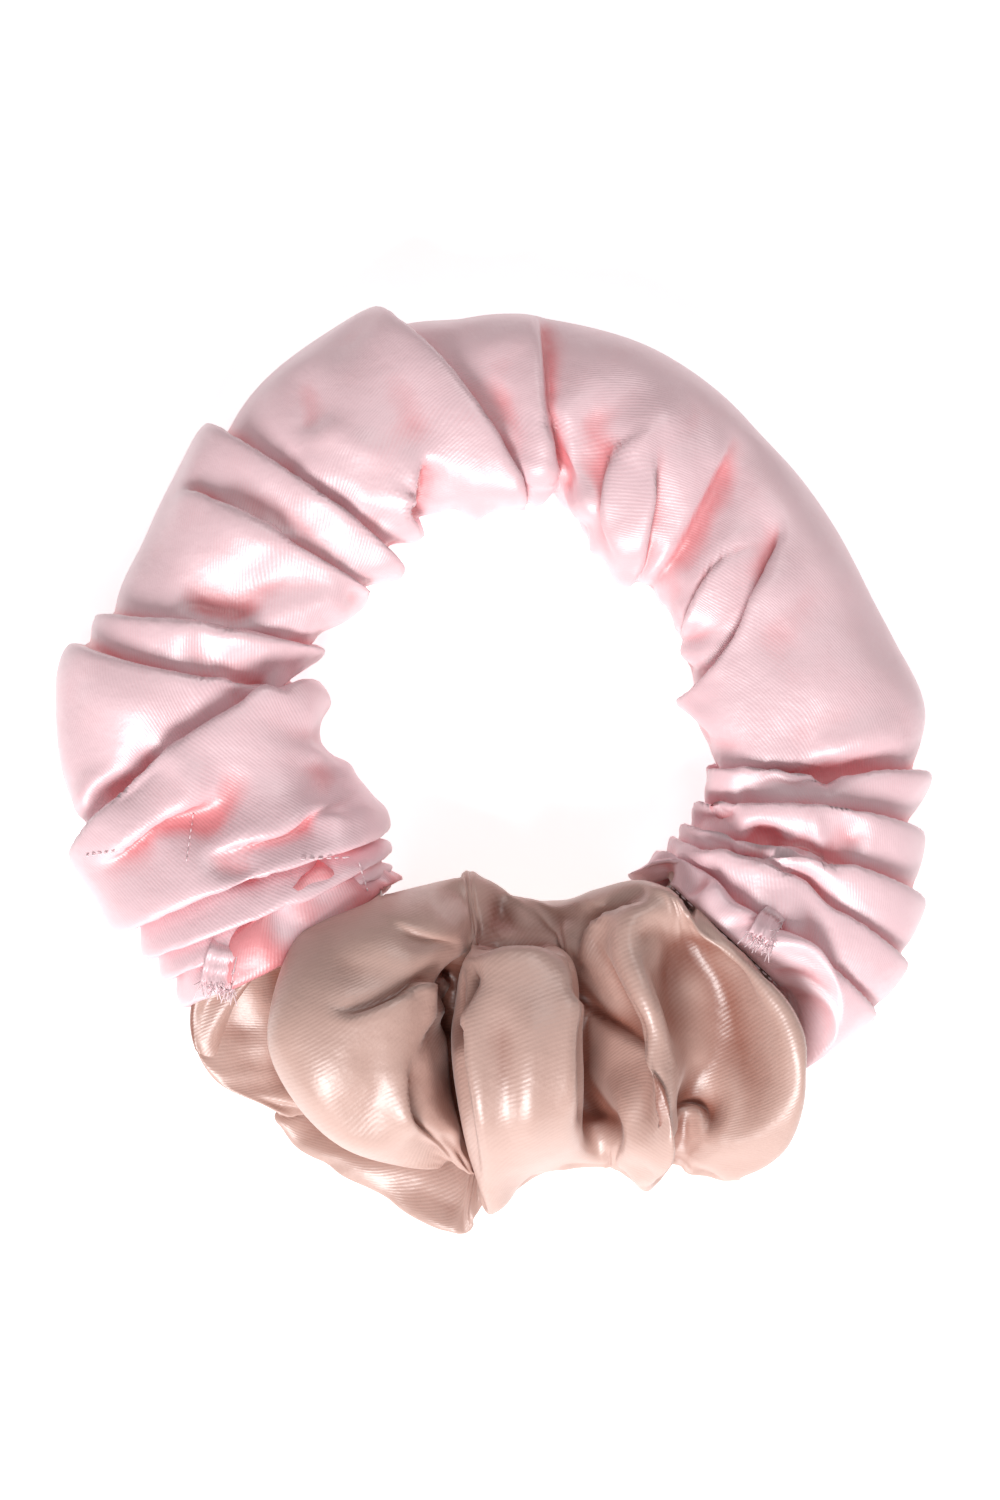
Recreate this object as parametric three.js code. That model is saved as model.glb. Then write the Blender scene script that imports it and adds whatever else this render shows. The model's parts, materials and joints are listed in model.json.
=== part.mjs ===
// A two-tone satin scrunchie, lying flat: a long pink sleeve and a short, tightly gathered beige
// sleeve make one ring round a loop of flat elastic. Millimetres and degrees, +Z up. The origin is
// under the middle of the whole piece, on the surface that it lies on.
import * as THREE from "three";
import { ParametricGeometry } from "three/addons/geometries/ParametricGeometry.js";

const DEG = Math.PI / 180;

// ---- Driving dimensions ----

const hairLoopRadius = 31.5; // the relaxed opening that the hair goes through
const clothThickness = 1; // satin with its small gathers pressed together
const gap = 0.3; // between pieces that touch

// Angles run anticlockwise round the opening, from +X. The pink sleeve goes over the top.
const rightJoinAngle = -47;
const leftJoinAngle = 223;

// The pink sleeve's width, seen from above, at the places where it changes.
const pinkWidths = [
  [rightJoinAngle, 47],
  [-24, 38],
  [-2, 41.5],
  [32, 32],
  [85, 34.5],
  [125, 37],
  [165, 40],
  [192, 46],
  [leftJoinAngle, 47],
];
const pinkHeight = 26;
const pinkGathers = 11;
const pinkGatherDepth = 2;

const beigeWidth = 57;
const beigeHeight = 37;
const beigeGathers = 5;
const beigeGatherDepth = 7;

// The beige sleeve's ends are drawn in to a neck, which is sewn inside the pink sleeve's mouths.
const neckWidth = 21;
const neckRoom = 2; // from a neck up to the pink cloth over it, and down to the cloth under it
const neckTuck = 7; // how far a neck goes into a mouth
const shoulderLength = 10; // from a neck to the beige sleeve's full width
const mouthGap = 2.5; // from a mouth to where the beige sleeve starts to widen

const pinkFlatDepth = 2; // how much of a sleeve's round underside the surface flattens
const beigeFlatDepth = 3;

const elasticWidth = 6;
const elasticThickness = 1.2;
const elasticInset = 9; // from the opening's edge to the middle of the elastic
const elasticOverlap = 15; // its two ends lie over each other, sewn together
const elasticJoinAngle = 150;
const elasticRise = 40; // degrees in which the upper end climbs onto the lower one

const threadRadius = 0.3;
const zigzags = 5;
const zigzagMargin = 1.2; // from the stitching to the elastic's edges

const tabLength = 8; // a bunch of raw seam edges that sticks out of each join
const tabWidth = 4;
const tabThickness = 1.2;
const tabShare = 0.68; // how far across the pink sleeve it is, from the opening's edge

const pinkSatin = { color: 0xe9ccd0, roughness: 0.38, metalness: 0 };
const beigeSatin = { color: 0xc99f92, roughness: 0.38, metalness: 0 };
const elasticKnit = { color: 0xf2efe9, roughness: 0.85, metalness: 0 };
const pinkThread = { color: 0xd9a3ac, roughness: 0.6, metalness: 0 };
const beigeThread = { color: 0xb08474, roughness: 0.6, metalness: 0 };

// ---- Sizes that follow from them ----

const middleHeight = pinkHeight / 2 - pinkFlatDepth;
const elasticRadius = hairLoopRadius + elasticInset;
const neckHeight = 2 * (middleHeight - clothThickness - neckRoom);
const threadRoom = 2 * (threadRadius + gap); // for a seam's thread, between two layers of cloth
const neckRadius = hairLoopRadius + clothThickness + threadRoom + gap + neckWidth / 2;
const tuckAngle = neckTuck / neckRadius / DEG;
const shoulderAngle = shoulderLength / neckRadius / DEG;
const mouthGapAngle = mouthGap / neckRadius / DEG;

// ---- Helpers ----

const smooth = (t) => THREE.MathUtils.smoothstep(t, 0, 1);
const mix = THREE.MathUtils.lerp;

// A value that changes smoothly through a list of [angle, value].
function along(stations, angle) {
  const last = stations.length - 1;
  let i = 0;
  while (i < last - 1 && angle > stations[i + 1][0]) i += 1;
  const [from, a] = stations[i];
  const [to, b] = stations[i + 1];
  return mix(a, b, smooth((angle - from) / (to - from)));
}

// The point at a radius, an angle round the opening and a height.
function polar(radius, angle, height, target = new THREE.Vector3()) {
  return target.set(radius * Math.cos(angle * DEG), radius * Math.sin(angle * DEG), height);
}

// A thin-walled sleeve round the opening. section(angle) gives its middle's radius and height and
// its half width and half height there. Gathers are waves that are deepest on the outside of the
// ring and fade to nothing against the hair.
function sleeve({ from, to, section, gathers, depth, stations, sides }) {
  const skin = (angle, turn, inset, target) => {
    const { radius, height, halfWidth, halfHeight } = section(angle);
    const share = (angle - from) / (to - from);
    const outside = (1 + Math.cos(turn)) / 2;
    const wave = (1 - Math.cos(2 * Math.PI * gathers * share)) / 2;
    const drawnIn = depth * outside * (1 - wave) * Math.min(1, halfWidth / neckWidth);
    const x = radius + (halfWidth - drawnIn - inset) * Math.cos(turn);
    const z = height + (halfHeight - drawnIn - inset) * Math.sin(turn);
    return polar(x, angle, Math.max(z, inset), target);
  };
  // u runs along the outer skin and back along the inner one, and v round the section.
  const last = stations - 1;
  const steps = 2 * stations;
  const surface = (u, v, target) => {
    const step = Math.round(u * steps) % steps;
    const inner = step > last;
    const place = inner ? steps - 1 - step : step;
    skin(mix(from, to, place / last), 2 * Math.PI * v, inner ? clothThickness : 0, target);
  };
  return new ParametricGeometry(surface, steps, sides);
}

function mesh(name, geometry, material) {
  const made = new THREE.Mesh(geometry, new THREE.MeshStandardMaterial(material));
  made.name = name;
  return made;
}

// A thread along a curve.
function thread(curve, steps) {
  const round = new THREE.Shape().absarc(0, 0, threadRadius, 0, 2 * Math.PI);
  return new THREE.ExtrudeGeometry(round, { extrudePath: curve, steps, curveSegments: 6 });
}

// ---- The two sleeves ----

function pinkSection(angle) {
  const halfWidth = along(pinkWidths, angle) / 2;
  return {
    radius: hairLoopRadius + halfWidth,
    height: middleHeight,
    halfWidth,
    halfHeight: pinkHeight / 2,
  };
}

function beigeSection(angle) {
  const fromMouth = Math.min(angle - leftJoinAngle, rightJoinAngle + 360 - angle);
  const widening = THREE.MathUtils.clamp((fromMouth - mouthGapAngle) / shoulderAngle, 0, 1);
  const open = Math.sqrt(1 - (1 - widening) ** 2); // a quarter round
  const halfWidth = mix(neckWidth, beigeWidth, open) / 2;
  const halfHeight = mix(neckHeight, beigeHeight, open) / 2;
  return {
    radius: mix(neckRadius, hairLoopRadius + beigeWidth / 2, open),
    height: mix(middleHeight, beigeHeight / 2 - beigeFlatDepth, open),
    halfWidth,
    halfHeight,
  };
}

const pinkSleeve = mesh(
  "pink_sleeve",
  sleeve({
    from: rightJoinAngle,
    to: leftJoinAngle,
    section: pinkSection,
    gathers: pinkGathers,
    depth: pinkGatherDepth,
    stations: 67,
    sides: 20,
  }),
  pinkSatin,
);

const beigeSleeve = mesh(
  "beige_sleeve",
  sleeve({
    from: leftJoinAngle - tuckAngle,
    to: rightJoinAngle + 360 + tuckAngle,
    section: beigeSection,
    gathers: beigeGathers,
    depth: beigeGatherDepth,
    stations: 41,
    sides: 20,
  }),
  beigeSatin,
);

// ---- The elastic and its sewn join ----

const overlapAngle = elasticOverlap / elasticRadius / DEG;
const climb = elasticThickness + gap;

// The elastic's middle line: a turn and an overlap, whose last end lies outside the first.
function elasticMiddle(angle) {
  const start = elasticJoinAngle - overlapAngle / 2;
  const rise = (angle - start - 360 + elasticRise) / elasticRise;
  return elasticRadius + climb * smooth(rise);
}

function elasticBand() {
  const start = elasticJoinAngle - overlapAngle / 2;
  const end = start + 360 + overlapAngle;
  const steps = 90;
  const edge = (side) =>
    Array.from({ length: steps + 1 }, (_, i) => {
      const angle = mix(start, end, i / steps);
      const p = polar(elasticMiddle(angle) + (side * elasticThickness) / 2, angle, 0);
      return new THREE.Vector2(p.x, p.y);
    });
  const outline = new THREE.Shape([...edge(1), ...edge(-1).reverse()]);
  const band = new THREE.ExtrudeGeometry(outline, { depth: elasticWidth, bevelEnabled: false });
  return band.translate(0, 0, middleHeight - elasticWidth / 2);
}

// Zigzag stitching that holds the overlap, on one face of it.
function zigzag(radius) {
  const reach = elasticWidth / 2 - zigzagMargin;
  const spread = (elasticOverlap - 2 * zigzagMargin) / elasticRadius / DEG;
  const points = Array.from({ length: 2 * zigzags + 1 }, (_, i) => {
    const angle = elasticJoinAngle + spread * (i / (2 * zigzags) - 0.5);
    return polar(radius, angle, middleHeight + (i % 2 ? reach : -reach));
  });
  return thread(new THREE.CatmullRomCurve3(points, false, "centripetal"), 6 * zigzags);
}

const faceGap = elasticThickness / 2 + gap + threadRadius;
const elastic = mesh("elastic_band", elasticBand(), elasticKnit);
const needleThread = mesh(
  "elastic_join_needle_thread",
  zigzag(elasticRadius + climb + faceGap + gap),
  elasticKnit,
);
const bobbinThread = mesh(
  "elastic_join_bobbin_thread",
  zigzag(elasticRadius - faceGap - gap),
  elasticKnit,
);

// ---- Seam threads ----

// The long seam of a sleeve runs inside it, along the side against the hair.
function longSeam(section, from, to) {
  const points = Array.from({ length: 13 }, (_, i) => {
    const angle = mix(from, to, i / 12);
    const { radius, height, halfWidth } = section(angle);
    const inside = radius - halfWidth + clothThickness + 2 * gap + threadRadius;
    return polar(inside, angle, height);
  });
  const steps = Math.round((to - from) / 5);
  return thread(new THREE.CatmullRomCurve3(points), steps);
}

// A join's thread goes once round the beige sleeve's neck, inside the pink sleeve's mouth.
function joinThread(angle) {
  const halfWidth = neckWidth / 2 + gap + threadRadius;
  const halfHeight = neckHeight / 2 + gap + threadRadius;
  const ring = new THREE.TorusGeometry(halfWidth, threadRadius, 6, 24);
  ring.scale(1, halfHeight / halfWidth, 1).rotateX(90 * DEG).rotateZ(angle * DEG);
  const at = polar(neckRadius, angle, middleHeight);
  return ring.translate(at.x, at.y, at.z);
}

const seamEnd = 3; // degrees from the end of a sleeve's long seam to its mouth
const pinkSeam = mesh(
  "pink_long_seam_thread",
  longSeam(
    pinkSection,
    rightJoinAngle + tuckAngle + seamEnd,
    leftJoinAngle - tuckAngle - seamEnd,
  ),
  pinkThread,
);
const openAngle = mouthGapAngle + shoulderAngle + seamEnd;
const beigeSeam = mesh(
  "beige_long_seam_thread",
  longSeam(beigeSection, leftJoinAngle + openAngle, rightJoinAngle + 360 - openAngle),
  beigeThread,
);
const leftJoin = mesh(
  "left_join_thread",
  joinThread(leftJoinAngle - tuckAngle / 2),
  pinkThread,
);
const rightJoin = mesh(
  "right_join_thread",
  joinThread(rightJoinAngle + tuckAngle / 2),
  pinkThread,
);

// ---- Raw seam edges that stick out of the joins ----

// A folded strip with a ragged end, standing against a mouth's edge. side is 1 where the beige
// sleeve starts at larger angles than the mouth's, and -1 where it starts at smaller ones.
function seamTab(mouthAngle, side) {
  const { radius, height, halfWidth, halfHeight } = pinkSection(mouthAngle);
  const across = (2 * tabShare - 1) * halfWidth;
  const edgeHeight = height + halfHeight * Math.sqrt(1 - (across / halfWidth) ** 2);
  const outline = new THREE.Shape([
    new THREE.Vector2(-tabWidth / 2, 0),
    new THREE.Vector2(tabWidth / 2, 0),
    new THREE.Vector2(tabWidth / 2, tabLength * 0.8),
    new THREE.Vector2(tabWidth / 6, tabLength),
    new THREE.Vector2(-tabWidth / 6, tabLength * 0.85),
    new THREE.Vector2(-tabWidth / 2, tabLength * 0.95),
  ]);
  const strip = new THREE.ExtrudeGeometry(outline, { depth: tabThickness, bevelEnabled: false });
  const away = (gap + tabThickness / 2) / (radius + across) / DEG;
  const angle = mouthAngle + side * away;
  strip.translate(0, 0, -tabThickness / 2).rotateX(90 * DEG).rotateZ(angle * DEG);
  const at = polar(radius + across, angle, edgeHeight - tabLength * 0.8);
  return strip.translate(at.x, at.y, at.z);
}

const leftTab = mesh("left_seam_tab", seamTab(leftJoinAngle, 1), pinkSatin);
const rightTab = mesh("right_seam_tab", seamTab(rightJoinAngle, -1), pinkSatin);

// ---- The whole piece, moved so that the origin is under the middle of it ----

const scrunchie = new THREE.Group();
scrunchie.add(
  pinkSleeve,
  beigeSleeve,
  elastic,
  needleThread,
  bobbinThread,
  pinkSeam,
  beigeSeam,
  leftJoin,
  rightJoin,
  leftTab,
  rightTab,
);
const whole = new THREE.Box3().setFromObject(scrunchie, true);
const middle = whole.getCenter(new THREE.Vector3());
scrunchie.position.set(-middle.x, -middle.y, -whole.min.z);

export default scrunchie;
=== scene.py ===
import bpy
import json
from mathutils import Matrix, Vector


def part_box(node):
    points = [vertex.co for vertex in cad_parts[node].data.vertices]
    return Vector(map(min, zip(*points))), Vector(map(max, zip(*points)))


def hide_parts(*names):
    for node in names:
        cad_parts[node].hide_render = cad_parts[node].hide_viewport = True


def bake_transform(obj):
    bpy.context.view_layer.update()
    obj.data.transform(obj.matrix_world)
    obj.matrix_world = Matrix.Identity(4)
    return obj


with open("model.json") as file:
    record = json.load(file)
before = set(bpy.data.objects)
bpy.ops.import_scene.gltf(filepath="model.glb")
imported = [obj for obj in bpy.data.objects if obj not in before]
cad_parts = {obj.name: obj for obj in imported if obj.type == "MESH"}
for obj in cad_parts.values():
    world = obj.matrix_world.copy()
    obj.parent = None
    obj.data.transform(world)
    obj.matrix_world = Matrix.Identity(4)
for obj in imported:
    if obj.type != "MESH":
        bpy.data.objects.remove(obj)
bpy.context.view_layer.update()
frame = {"record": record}

import json
import math

import bpy
import numpy as np

# ---- Camera, light and floor ----
# The scrunchie lies on a white sweep and is seen from straight above, with a large softbox low
# on the beige side and a white tent over everything.

scene = bpy.context.scene
CAMERA_HEIGHT = 0.9
VIEW_LENGTH = 0.255      # what the frame's long side takes in at the table
VIEW_MIDDLE = (0.0, 0.0036)

lens = bpy.data.cameras.new("camera")
lens.lens = lens.sensor_width * CAMERA_HEIGHT / VIEW_LENGTH
camera = bpy.data.objects.new("camera", lens)
camera.location = (*VIEW_MIDDLE, CAMERA_HEIGHT)
scene.collection.objects.link(camera)
scene.camera = camera
scene.view_settings.view_transform = "Standard"

world = bpy.data.worlds.new("white_tent")
world.use_nodes = True
world.node_tree.nodes["Background"].inputs["Color"].default_value = (1.0, 1.0, 1.0, 1)
world.node_tree.nodes["Background"].inputs["Strength"].default_value = 0.32
scene.world = world


def softbox(name, place, size, power):
    """A square area light at a place, turned towards the origin."""
    light = bpy.data.lights.new(name, "AREA")
    light.size = size
    light.energy = power
    lamp = bpy.data.objects.new(name, light)
    lamp.location = place
    back = lamp.location.to_track_quat("Z", "Y")
    lamp.rotation_mode = "QUATERNION"
    lamp.rotation_quaternion = back
    scene.collection.objects.link(lamp)


softbox("front_softbox", (-0.15, -0.75, 0.62), 0.4, 9.6)
softbox("top_softbox", (0.35, 0.45, 0.9), 0.3, 1.5)

sweep_mesh = bpy.data.meshes.new("sweep")
HALF_SWEEP = 6.0
sweep_mesh.from_pydata(
    [(x * HALF_SWEEP, y * HALF_SWEEP, 0) for x, y in ((-1, -1), (1, -1), (1, 1), (-1, 1))],
    [],
    [(0, 1, 2, 3)],
)
sweep = bpy.data.objects.new("sweep", sweep_mesh)
scene.collection.objects.link(sweep)
sweep_paper = bpy.data.materials.new("sweep_paper")
sweep_paper.use_nodes = True
paper_shader = sweep_paper.node_tree.nodes["Principled BSDF"]
paper_shader.inputs["Base Color"].default_value = (0.95, 0.95, 0.95, 1)
paper_shader.inputs["Roughness"].default_value = 0.9
paper_shader.inputs["Emission Color"].default_value = (1.0, 1.0, 1.0, 1)
paper_shader.inputs["Emission Strength"].default_value = 0.55
sweep_mesh.materials.append(sweep_paper)

# ---- Pink sleeve ----
# A tube of thin satin, sewn along its length from a flat strip and drawn over the elastic, over about
# three quarters of the ring. It is longer than the elastic, so it stands in pleats, and each mouth
# turns in to a neck that is sewn to the beige sleeve.

MM = 0.001               # lengths are in millimetres here and below
loop_box = frame["record"]["physics"]["openings"][0]["box_m"]
LOOP_X = (loop_box[0][0] + loop_box[1][0]) / 2 / MM
LOOP_Y = (loop_box[0][1] + loop_box[1][1]) / 2 / MM


def smooth(t):
    """Smoothstep: 3t^2 - 2t^3, held at 0 and 1 outside."""
    t = np.clip(t, 0, 1)
    return t * t * (3 - 2 * t)


def through(stations, x):
    """A smooth curve through a list of (x, value): monotone cubic pieces."""
    xs, ys = np.array(stations, float).T
    steps = np.diff(xs)
    slopes = np.diff(ys) / steps
    m = np.zeros(len(xs))
    product = slopes[:-1] * slopes[1:]
    m[1:-1] = np.where(product > 0, 2 * product / (slopes[:-1] + slopes[1:] + 1e-12), 0)
    m[0], m[-1] = slopes[0], slopes[-1]
    i = np.clip(np.searchsorted(xs, x) - 1, 0, len(steps) - 1)
    h = steps[i]
    t = np.clip((x - xs[i]) / h, 0, 1)
    return (
        ys[i] * (1 + 2 * t) * (1 - t) ** 2
        + ys[i + 1] * t * t * (3 - 2 * t)
        + h * m[i] * t * (1 - t) ** 2
        - h * m[i + 1] * t * t * (1 - t)
    )


MOUTH_SLANT = 13.0       # degrees by which the right mouth's upper lip stands back from the lower
LIP_EDGE = 0.7           # half the width of cloth in which a fold turns under itself
FINE_ROWS = 1700
UNDULATION = 0.5         # how far the cloth waves between its pleats
PUCKER = 1.3             # and how far where the elastic gathers it, against the hair
CREASE_SHADE_GAIN = 1.2        # how fast painted shade deepens the colour in a crease, per millimetre of its depth
POCKET_SHADE_GAIN = 0.22       # and how fast painted shade deepens it in a wide pocket
MOUTH_REACH = 0.16       # the share of the tube's length in which the slant fades out
BELT = 0.45              # the height of the tube's widest line, as a share of its top's
PLEAT_FADE = 0.09        # the share of the way round in which a pleat runs out
NECK_PUCKERS = 7         # how often a neck puckers round the tube
NECK_PUCKER_DEPTH = 1.2
NECK_ROWS = 90
LOWEST = 0.35            # the cloth's lowest point above the table
TABLE_EASE = 2.5         # how sharply the cloth turns flat on the table
ELASTIC_HALF = 0.6       # half the elastic's thickness
RIDGE_ROOM = 1.0         # how far the ridge over the elastic stands above it
RIDGE_WIDTH = 6.5
RIDGE_EASE = 1.6         # how sharply the cloth turns onto that ridge
UPPER_FADE = 0.06        # the share of the way round in which its upper half fades in


def on_table(z):
    """Heights above the table: z, eased so that it never goes below the lowest point."""
    return LOWEST + np.logaddexp(0, (z - LOWEST) * TABLE_EASE) / TABLE_EASE


def over_elastic(grid):
    """The cloth's points where the elastic holds it up: near the elastic's circle the upper cloth
    stays above a soft ridge, top * exp(-((radius - elastic) / ridge width)^2)."""
    low, high = (np.array(corner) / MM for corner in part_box("elastic_band"))
    middle, reach = (low + high) / 2, (high[0] - low[0]) / 2 - ELASTIC_HALF
    away = np.hypot(grid[..., 0] - middle[0], grid[..., 1] - middle[1]) - reach
    ridge = (high[2] + RIDGE_ROOM) * np.exp(-((away / RIDGE_WIDTH) ** 2))
    lifted = ridge + np.logaddexp(0, (grid[..., 2] - ridge) * RIDGE_EASE) / RIDGE_EASE
    turn = np.linspace(0, 1, grid.shape[1], endpoint=False)
    upper = smooth(turn / UPPER_FADE) * smooth((0.5 - turn) / UPPER_FADE)
    raised = grid.copy()
    raised[..., 2] += (lifted - grid[..., 2]) * upper
    return raised


def fold(d, depth, rise, over, high_width, low_width):
    """How a pleat moves the cloth at a distance d from its line, d > 0 on the side that it covers.

    The covering side swells by rise * exp(-(d/high_width)^2) and is pushed over the line by
    over * exp(-(d/high_width)^2); the covered side sinks by depth * exp(-(d/low_width)^1.3) and is
    pulled back under by 0.4 of over. Between them, a smoothstep as wide as the cloth's turn.
    Returns the swell and the push.
    """
    near = np.exp(-((d / high_width) ** 2))
    far = np.exp(-((np.abs(d) / low_width) ** 1.3))
    under = smooth(d / (2 * LIP_EDGE) + 0.5)
    edge = np.exp(-((d / (2 * LIP_EDGE)) ** 2))
    swell = (1 - under) * (rise * near - 0.35 * rise * edge) - under * depth * far
    push = (1 - under) * over * near - under * 0.4 * over * far
    return swell, push


def soft_noise(rows, columns, cells_along, cells_round, seed):
    """A smooth random surface from -1 to 1: random heights on a coarse grid that closes round
    the tube, joined by splines."""
    heights = np.random.default_rng(seed).uniform(-1, 1, (cells_round, cells_along, 1))
    round_tube = spline(heights, columns, True)
    return spline(round_tube.transpose(1, 0, 2), rows, False)[..., 0]


def spline(points, steps, closed):
    """A Catmull-Rom curve through the points along the first axis."""
    count = len(points)
    x = np.linspace(0, count if closed else count - 1, steps, endpoint=not closed)
    i = np.minimum(x.astype(int), count - 1 if closed else count - 2)
    f = (x - i).reshape(-1, *[1] * (points.ndim - 1))
    at = [points[(i + k) % count if closed else np.clip(i + k, 0, count - 1)] for k in (-1, 0, 1, 2)]
    before, here, then, after = at
    return 0.5 * (
        2 * here
        + (then - before) * f
        + (2 * before - 5 * here + 4 * then - after) * f**2
        + (3 * here - before - 3 * then + after) * f**3
    )


def funnel(mouth, neck, turned_in):
    """Cloth that turns in at a mouth and narrows to the neck ring that it is sewn to.

    A point goes from the mouth to the neck along a straight line, bulging by sin(pi k) into the
    tube, with puckers that are deepest halfway: depth * sin(pi k) * sin(puckers * turn).
    """
    k = np.linspace(0, 1, NECK_ROWS + 1)[1:, None, None]
    turn = np.linspace(0, 2 * np.pi, len(mouth), endpoint=False)[None, :, None]
    middle = neck.mean(0)
    outward = mouth - middle
    outward = outward / np.linalg.norm(outward, axis=-1, keepdims=True)
    wave = np.sin(NECK_PUCKERS * turn) + 0.5 * np.sin(2 * NECK_PUCKERS * turn + 1)
    bulge = np.sin(np.pi * k)
    rings = mouth + (neck - mouth) * smooth(k) ** 0.8 + np.array(turned_in) * bulge
    return rings + outward * NECK_PUCKER_DEPTH * wave * bulge


def ring(middle, angle, half_width, half_height, columns):
    """A round section of a tube at a place, seen along the direction round the loop."""
    turn = np.pi * (1 - 2 * np.linspace(0, 1, columns, endpoint=False))
    out = np.cos(np.radians(angle)), np.sin(np.radians(angle))
    return np.stack(
        [
            middle[0] + half_width * np.cos(turn) * out[0],
            middle[1] + half_width * np.cos(turn) * out[1],
            middle[2] + half_height * np.sin(turn),
        ],
        -1,
    )


def sleeve_points(ends, outline, heights, folds, necks, rows, columns):
    """Points of a gathered tube, as a (rows, columns, 3) grid in millimetres.

    A row is a section of the tube, from the loop's edge over the top to the outer edge and back
    underneath: radius = middle + half * cos(turn), height = top * sin(turn)^0.75. Each pleat then
    moves the cloth along the section's normal and across its own line. Last, each column is cut
    into steps of equal length, as the weave is.
    """
    s = np.linspace(0, 1, FINE_ROWS)[:, None]
    t = np.linspace(0, 1, columns, endpoint=False)[None, :]
    turn = np.pi * (1 - 2 * t)
    up = np.sin(turn)
    across = (1 + np.cos(turn)) / 2
    (in0, in1), (out0, out1) = ends
    start = in0 + (out0 - in0) * across
    end = in1 + (out1 - in1) * across
    theta = start + (end - start) * s
    theta = theta + MOUTH_SLANT * np.clip(up, 0, 1) ** 0.7 * smooth(1 - s / MOUTH_REACH)
    inner = through([(a, i) for a, i, o in outline], theta)
    outer = through([(a, o) for a, i, o in outline], theta)
    top = through(heights, theta)
    radius = (outer + inner) / 2 + (outer - inner) / 2 * np.cos(turn)
    belt = top * BELT
    above = belt + (top - belt) * np.abs(up) ** 0.75
    below = belt * (1 - 0.97 * np.abs(up) ** 0.6)
    z = np.where(up > 0, above, below)
    swell = np.zeros_like(radius)
    push_round = np.zeros_like(radius)
    push_out = np.zeros_like(radius)
    for (at_inner, at_outer), bow, side, sizes, (r0, r1) in folds:
        line = at_inner + (at_outer - at_inner) * across + bow * np.sin(np.pi * across)
        slope = np.radians(at_outer - at_inner) * (inner + outer) / 2 / (outer - inner)
        lean = np.arctan(slope)
        d = -side * np.radians(theta - line) * radius * np.cos(lean)
        reach = 0
        for lap in (-1, 0, 1):
            fade_in = smooth((t + lap - r0) / PLEAT_FADE + 1)
            reach = np.maximum(reach, fade_in * smooth((r1 - t - lap) / PLEAT_FADE + 1))
        rise, push = fold(d, *sizes)
        swell += reach * rise
        flat = 0.3 + 0.7 * np.sqrt(np.abs(up))
        push_round += -side * reach * push * np.cos(lean) * flat
        push_out += side * reach * push * np.sin(lean) * flat
    swell += UNDULATION * soft_noise(FINE_ROWS, columns, 34, 5, 4)
    swell += PUCKER * np.exp(-((across / 0.16) ** 2)) * soft_noise(FINE_ROWS, columns, 70, 12, 9)
    radius = radius + push_out + swell * np.cos(turn)
    z = z + swell * up * np.where(up > 0, 1, 0.3)
    angle = np.radians(theta) + push_round / np.maximum(radius, 15)
    x = LOOP_X + radius * np.cos(angle)
    y = LOOP_Y + radius * np.sin(angle)
    tube = np.stack([x, y, on_table(z)], -1)
    (right_neck, right_in), (left_neck, left_in) = necks
    right = funnel(tube[0], right_neck, right_in)[::-1]
    left = funnel(tube[-1], left_neck, left_in)
    return even_steps(np.concatenate([right, tube, left]), rows)


def even_steps(grid, rows):
    """The same columns, each cut into steps of one length: the cloth is as long as it is."""
    run = np.linalg.norm(np.diff(grid, axis=0), axis=-1)
    run = np.concatenate([np.zeros_like(run[:1]), np.cumsum(run, axis=0)])
    run = run / run[-1] + 2 * np.arange(grid.shape[1])
    want = np.linspace(0, 1, rows)[:, None] + 2 * np.arange(grid.shape[1])
    flat = [np.interp(want.T.ravel(), run.T.ravel(), grid[..., k].T.ravel()) for k in range(3)]
    return np.stack(flat, -1).reshape(grid.shape[1], rows, 3).transpose(1, 0, 2)


# The tube's edges: angle round the loop, inner and outer radius.
PINK_OUTLINE = [
    (-58, 35.0, 77),
    (-40, 35.5, 79),
    (-26, 34.5, 76),
    (-14, 31.5, 70.5),
    (-2, 28.8, 70),
    (10, 28.6, 64.5),
    (25, 29.5, 61),
    (40, 29.6, 60.2),
    (55, 28.0, 61.5),
    (70, 30.0, 63.5),
    (84, 33.0, 63.7),
    (98, 32.5, 65.5),
    (110, 32.2, 68.5),
    (125, 31.5, 68.3),
    (140, 29.5, 67.8),
    (155, 30.2, 67.6),
    (168, 31.5, 71.0),
    (178, 33.5, 75.5),
    (192, 32.0, 76.0),
    (206, 29.0, 75.0),
    (222, 29.5, 75.5),
    (240, 31.5, 76.0),
]
# Its height above the table, at angles round the loop.
PINK_HEIGHTS = [
    (-54, 22),
    (-30, 23),
    (-14, 21),
    (10, 20),
    (60, 20.5),
    (110, 21),
    (150, 20),
    (190, 22),
    (222, 23),
    (240, 20),
]

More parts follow.
